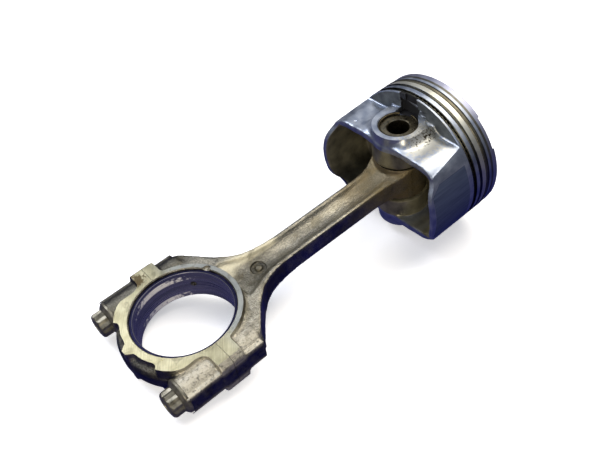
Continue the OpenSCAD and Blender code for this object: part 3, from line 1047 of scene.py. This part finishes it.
# %% Ground steel
ground_steel, tree, shader, place = new_metal("ground_steel")
lines = cloud(tree, place, 0.22, 3, stretch=(1, 60, 60), turn=(0, 0, math.radians(38)))
film = cloud(tree, place, 9, 5)
skin = mix(tree, spread(tree, film, 0, 1), colour("857F60"), colour("C3BD9C"))
skin = paint(tree, skin, spread(tree, lines, 0, 1), "5C5844", 0.55)
along = add(tree, "ShaderNodeSeparateXYZ", {"Vector": place}).outputs[0]
skin = paint(tree, skin, step_up(tree, along, 2, 14), "A2A5A0", 0.75)
rust_spot = (-5, 31.5, 10)
stain = near_spot(tree, place, rust_spot, 4.6)
skin = paint(tree, skin, stain, "3C2A10", 0.8)
smudge = step_up(tree, cloud(tree, place, 6, 6, distortion=1.0), 0.56, 0.68)
skin = paint(tree, skin, smudge, "645F4A", 0.5)
rough = sums(tree, "ADD", spread(tree, film, 0.26, 0.42), times(tree, stain, 0.15))
wear(tree, shader, skin, rough)
dent(tree, shader, lines, 0.03)

# %% [markdown]
# ### Bolts, pin, circlips and rings
# These are small turned or drawn parts. The bolts have a dull phosphate skin. The pin's ends,
# the circlips and the rings are browned or darkened by hot oil.


# %% Small steel parts
def small_steel(name, dark, light, low_rough, high_rough, grain=0.5, depth=0.01, lump=2.5, metallic=1.0):
    material, tree, shader, place = new_metal(name, metallic)
    skin = mottled(tree, place, lump, dark, light)
    wear(tree, shader, skin, spread(tree, cloud(tree, place, 1.4, 4), low_rough, high_rough))
    dent(tree, shader, cloud(tree, place, grain, 3), depth)
    return material


bolt_steel = small_steel("bolt_steel", "5C594C", "949080", 0.32, 0.46, 0.4, 0.03, metallic=0.7)
pin_steel = small_steel("pin_steel", "5A5344", "8C846C", 0.24, 0.40, 0.3, 0.006)
spring_steel = small_steel("spring_steel", "2E2A20", "544C3A", 0.3, 0.45)
expander_steel = small_steel("expander_steel", "3E3A32", "6A6454", 0.35, 0.5)
# The shells' end faces are painted deep navy: a painted reflection of the blue room.
shell_end_reflection = small_steel("shell_end_reflection", "16162C", "26263E", 0.4, 0.55)
bush_bronze = small_steel("bush_bronze", "7A5A2C", "B48C50", 0.26, 0.42)

# %% The lower rings are dark and lapped, the top ring is browner
ring_steel, tree, shader, place = new_metal("ring_steel")
streaks = cloud(tree, place, 0.35, 3, stretch=(1, 18, 18))
skin = mottled(tree, place, 6, "34352E", "4E4E46")
skin = paint(tree, skin, spread(tree, streaks, 0, 1), "5E5A4E", 0.4)
wear(tree, shader, skin, spread(tree, streaks, 0.22, 0.4))
dent(tree, shader, streaks, 0.006)
top_ring_steel = small_steel("top_ring_steel", "5E5A4A", "7C7766", 0.34, 0.5, lump=5)

# %% [markdown]
# ### Bearing alloy
# The shells' lining is soft and polished by the crankshaft. It has faint rings round the bore
# and a few duller bands, and two bright tracks on one side are painted highlights.

# %% Bearing alloy
bearing_alloy, tree, shader, place = new_metal("bearing_alloy", 0.8)
height = parts_of(tree, place)[2]
rings = cloud(tree, place, 0.5, 4, stretch=(70, 70, 1))
skin = mottled(tree, place, 4, "8C8C9A", "C4C2C2", 3, stretch=(12, 12, 1))
skin = paint(tree, skin, spread(tree, rings, 0, 1), "5C5A56", 0.45)
highlight_bands = sums(tree, "ADD", between(tree, height, 3.2, 6.4, 0.3), between(tree, height, -8.1, -5.4, 0.3))
painted_highlight_zone = times(tree, near_spot(tree, place, (0, 24, -0.5), 17), highlight_bands)
painted_highlight_zone = times(tree, painted_highlight_zone, spread(tree, rings, 0.5, 1.5))
# Painted highlight: the two bright tracks on one side are painted near white.
skin = paint(tree, skin, painted_highlight_zone, "FFFCF4")
tree.links.new(mix_number(tree, painted_highlight_zone, 0.8, 0.0), shader.inputs["Metallic"])
wear(tree, shader, skin, mix_number(tree, painted_highlight_zone, spread(tree, rings, 0.2, 0.4), 0.5))
dent(tree, shader, rings, 0.01)

# %% [markdown]
# ### Piston alloy
# One casting carries several finishes. The turned and cast outside is silver blue aluminium.
# The skirt has a slate coating with clipped corners, the top land has a brown band from the gas
# that passes the ring, the second land is painted cream and the top of the top land lilac, the
# top of the crown is sooty, and inside everything has an olive varnish from hot oil. Painted shade
# darkens the gap above the top ring, the grooves behind the rings, the belt's underside and the
# notch, and a painted highlight lightens the foot of the boss. Each finish is a mask over the same
# metal, set by distance from the pin.

# %% Piston alloy
piston_alloy, tree, shader, place = new_metal("piston_alloy")
from_pin = (-pin_x / mm, 0, 0)
along, across, height = parts_of(tree, place, from_pin)
sideways = add(tree, "ShaderNodeCombineXYZ", {1: across, 2: height}).outputs[0]
radius = add(tree, "ShaderNodeVectorMath", {0: sideways}, operation="LENGTH").outputs["Value"]
up = sums(tree, "ABSOLUTE", height)
mottle = cloud(tree, place, 5, 6)
skin = mix(tree, spread(tree, mottle, 0, 1), colour("9CA6B6"), colour("C4CBD4"))
cast_grain = cloud(tree, place, 0.6, 3)
skin = paint(tree, skin, spread(tree, cast_grain, 0, 1), "7C8494", 0.2)

# A painted highlight round the foot of the boss, painted light cream, and burnt oil on it.
boss_foot_highlight = near_spot(tree, place, (pin_x / mm + 1, -17, 27), 15)
skin = paint(tree, skin, boss_foot_highlight, "DCD6BE", 0.55)
crumbs = step_up(tree, cloud(tree, place, 1.1, 4), 0.47, 0.56)
burnt = times(tree, near_spot(tree, place, (pin_x / mm + 4.5, -14.6, 27), 6.2), crumbs)
fine_crumbs = step_up(tree, cloud(tree, place, 0.9, 4), 0.55, 0.62)
trail = times(tree, near_spot(tree, place, (pin_x / mm - 3.0, -14.2, 27), 5.5), fine_crumbs)
burnt = most(tree, burnt, trail)
skin = paint(tree, skin, burnt, "2E2616")

# Painted shade: the skin under the belt is painted dark grey and the notch near black, and both are matt.
# The belt's underside is a shallow cone, so its mask runs along the cone.
cone_slope = 0.0929
slant = sums(tree, "ADD", along, times(tree, radius, cone_slope))
under = times(tree, between(tree, slant, 13.97, 16.2, 0.06), step_up(tree, radius, 40.6, 40.4))
beside_boss = times(tree, step_up(tree, up, 20.5, 22), step_up(tree, along, 12.4, 12.1))
under = times(tree, under, beside_boss)
notch_shade = times(tree, between(tree, across, -3.5, 8.5, 0.3), between(tree, along, 8.5, 13.6, 0.5))
notch_shade = times(tree, notch_shade, step_up(tree, up, 27.2, 27.9))
skin = mix(tree, under, skin, mottled(tree, place, 6, "3E444A", "6A7072"))
skin = paint(tree, skin, notch_shade, "1C1C1E")
matt = most(tree, under, notch_shade)

# Olive varnish inside.
inside = times(tree, step_up(tree, radius, 38.9, 38.3), step_up(tree, up, 22.6, 21.8))
inside = times(tree, inside, step_up(tree, along, 24.6, 24.2))
skin = mix(tree, inside, skin, mottled(tree, place, 8, "5A5644", "A09A7C"))

# Bands on the lands: lowest and highest place, soft edge, strength and colour.
on_belt = step_up(tree, radius, 36, 37)
patchy = spread(tree, cloud(tree, place, 3, 5), 0.8, 1)
CREAM = (18.4, 21.2, 0.2, 0.75, "E2DEC8")
BROWN = (25.3, 26.8, 0.25, patchy, "5C5746")
# GAP_SHADE is painted shade: a near black band where the gap above the top ring lies in shadow.
GAP_SHADE = (22.6, 23.75, 0.08, 0.95, "1A180E")
LILAC = (27.0, 30.3, 0.2, 0.7, "A8A8BE")
for low, high, soft, strength, tint in (CREAM, BROWN, GAP_SHADE, LILAC):
    band = times(tree, on_belt, between(tree, along, low, high, soft))
    skin = paint(tree, skin, band, tint, strength)

# Painted shade in the grooves behind the rings, and a burnt crown with burnt valve pockets.
deep = times(tree, step_up(tree, radius, 40.4, 39.6), between(tree, along, 11.8, 23.0, 0.1))
skin = paint(tree, skin, times(tree, on_belt, deep), "1E1C18")
crown_top = times(tree, step_up(tree, along, 28.5, 28.7), step_up(tree, radius, 40.4, 40.2))
crown_top = most(tree, crown_top, step_up(tree, along, 29.9, 30.1))
skin = mix(tree, crown_top, skin, mottled(tree, place, 9, "2C2822", "6E6656", 6, distortion=0.8))

# The skirt's coating: a field with clipped corners, worn in upright streaks.
field = times(tree, between(tree, along, -16.9, 8.2, 0.25), step_up(tree, up, 18.1, 17.7))
clip = sums(tree, "ADD", times(tree, along, -0.62), up)
field = times(tree, field, step_up(tree, clip, 24.6, 24.0))
field = times(tree, field, step_up(tree, radius, 40.3, 40.6))
coating = mottled(tree, place, 1.2, "4E5870", "66728A", 4, stretch=(14, 1, 1))
skin = mix(tree, field, skin, coating)

rough = spread(tree, mottle, 0.33, 0.47)
rough = mix_number(tree, field, rough, 0.36)
rough = mix_number(tree, matt, rough, 0.6)
charred = most(tree, burnt, crown_top)
rough = mix_number(tree, charred, rough, 0.75)
wear(tree, shader, skin, rough)
shine = sums(tree, "SUBTRACT", 0.88, times(tree, charred, 0.65))
shine = sums(tree, "SUBTRACT", shine, times(tree, most(tree, field, inside), 0.4))
shine = sums(tree, "SUBTRACT", shine, times(tree, matt, 0.7))
tree.links.new(shine, shader.inputs["Metallic"])
grain = dent(tree, shader, cast_grain, 0.04)
fine = cloud(tree, place, 0.3, 3, stretch=(1, 40, 40))
turning = times(tree, fine, on_belt)
dent(tree, shader, turning, 0.01, before=grain)

# %% Dress the pieces
def is_ground(middle, normal):
    return abs(normal.z) > 0.999 and abs(abs(middle.z) - half_width) < 0.05 * mm


def is_parting(middle, normal):
    return abs(normal.x) > 0.999 and abs(middle.x) < 2 * crack


dress(rod, forged_steel, (ground_steel, is_ground), (ground_steel, is_parting))
dress(cap, forged_steel, (ground_steel, is_ground), (ground_steel, is_parting))
dress(piston, piston_alloy)
dress(far_bolt, bolt_steel)
dress(near_bolt, bolt_steel)


def is_shell_end(middle, normal):
    return abs(normal.z) > 0.99


for name, node, side in SHELLS:
    dress(bpy.data.objects[name], bearing_alloy, (shell_end_reflection, is_shell_end))
finishes = {"wrist_pin_tube": pin_steel,
            "compression_ring": top_ring_steel, "scraper_ring": ring_steel, "rail_lower": ring_steel,
            "rail_upper": ring_steel, "expander_strip": expander_steel}
for name, finish in finishes.items():
    dress(bpy.data.objects[name], finish)
dress(frame["nodes"]["small_end_bush"], bush_bronze)
for node in ("circlip_upper", "circlip_lower"):
    dress(frame["nodes"][node], spring_steel)

# %% [markdown]
# ## Floor and light
# The floor is plain and pale. Polished metal shows what stands round it more than its own
# colour, so the room matters: above is a wide, warm soft box, behind it a second one that
# draws the edges, and a small one stands low at the big end. Low down the room is deep blue,
# which gives the metal its dark flanks. The floor is kept out of the mirror images, so that the
# blue shows there.

# %% Floor
bpy.ops.object.select_all(action="DESELECT")
bpy.ops.mesh.primitive_plane_add(size=6, location=(0.08, 0, floor_z))
floor = bpy.context.object
floor.name = "floor"
floor.visible_glossy = False
floor.visible_diffuse = False
floor_finish, tree, shader, place = new_metal("pale_floor", 0.0)
paper = mix(tree, cloud(tree, place, 400, 2), colour("FAFAFA"), colour("FDFDFD"))
wear(tree, shader, paper, spread(tree, cloud(tree, place, 30, 2), 0.85, 0.95))
shader.inputs["Emission Color"].default_value = (1, 1, 1, 1)
shader.inputs["Emission Strength"].default_value = 0.45
floor.data.materials.append(floor_finish)

# %% Soft boxes and the room
def soft_box(name, place, aim, width, height, watts, tint):
    lamp = bpy.data.lights.new(name, "AREA")
    lamp.shape = "RECTANGLE"
    lamp.size, lamp.size_y = width, height
    lamp.energy = watts
    lamp.color = colour(tint)[:3]
    box = bpy.data.objects.new(name, lamp)
    bpy.context.scene.collection.objects.link(box)
    box.matrix_world = (Matrix.Translation(place)
                        @ (Vector(place) - Vector(aim)).to_track_quat("Z", "Y").to_matrix().to_4x4())
    return box


soft_box("soft_box_above", (0.34, -0.06, 0.80), (0.10, 0, 0.02), 0.62, 0.62, 5.0, "FFF6E6")
soft_box("soft_box_behind", (-0.22, 0.52, 0.66), (0.08, 0, 0.02), 0.42, 0.42, 4.0, "F4F6FF")
soft_box("soft_box_low", (-0.34, -0.32, 0.17), (0.08, 0, 0.02), 0.18, 0.12, 1.2, "FFF4E0")

room = bpy.data.worlds.new("room")
bpy.context.scene.world = room
room.use_nodes = True
tree = room.node_tree
tree.nodes.clear()
way = add(tree, "ShaderNodeTexCoord").outputs["Generated"]
upward = add(tree, "ShaderNodeSeparateXYZ", {"Vector": way}).outputs[2]
walls = mix(tree, step_up(tree, upward, -0.35, 0.12), colour("161864"), colour("222632"))
walls = paint(tree, walls, step_up(tree, upward, 0.15, 0.95), "A8B0C4")
glow = add(tree, "ShaderNodeBackground", {"Color": walls, "Strength": 1.0})
add(tree, "ShaderNodeOutputWorld", {"Surface": glow.outputs["Background"]})
bpy.context.scene.view_settings.view_transform = "Standard"
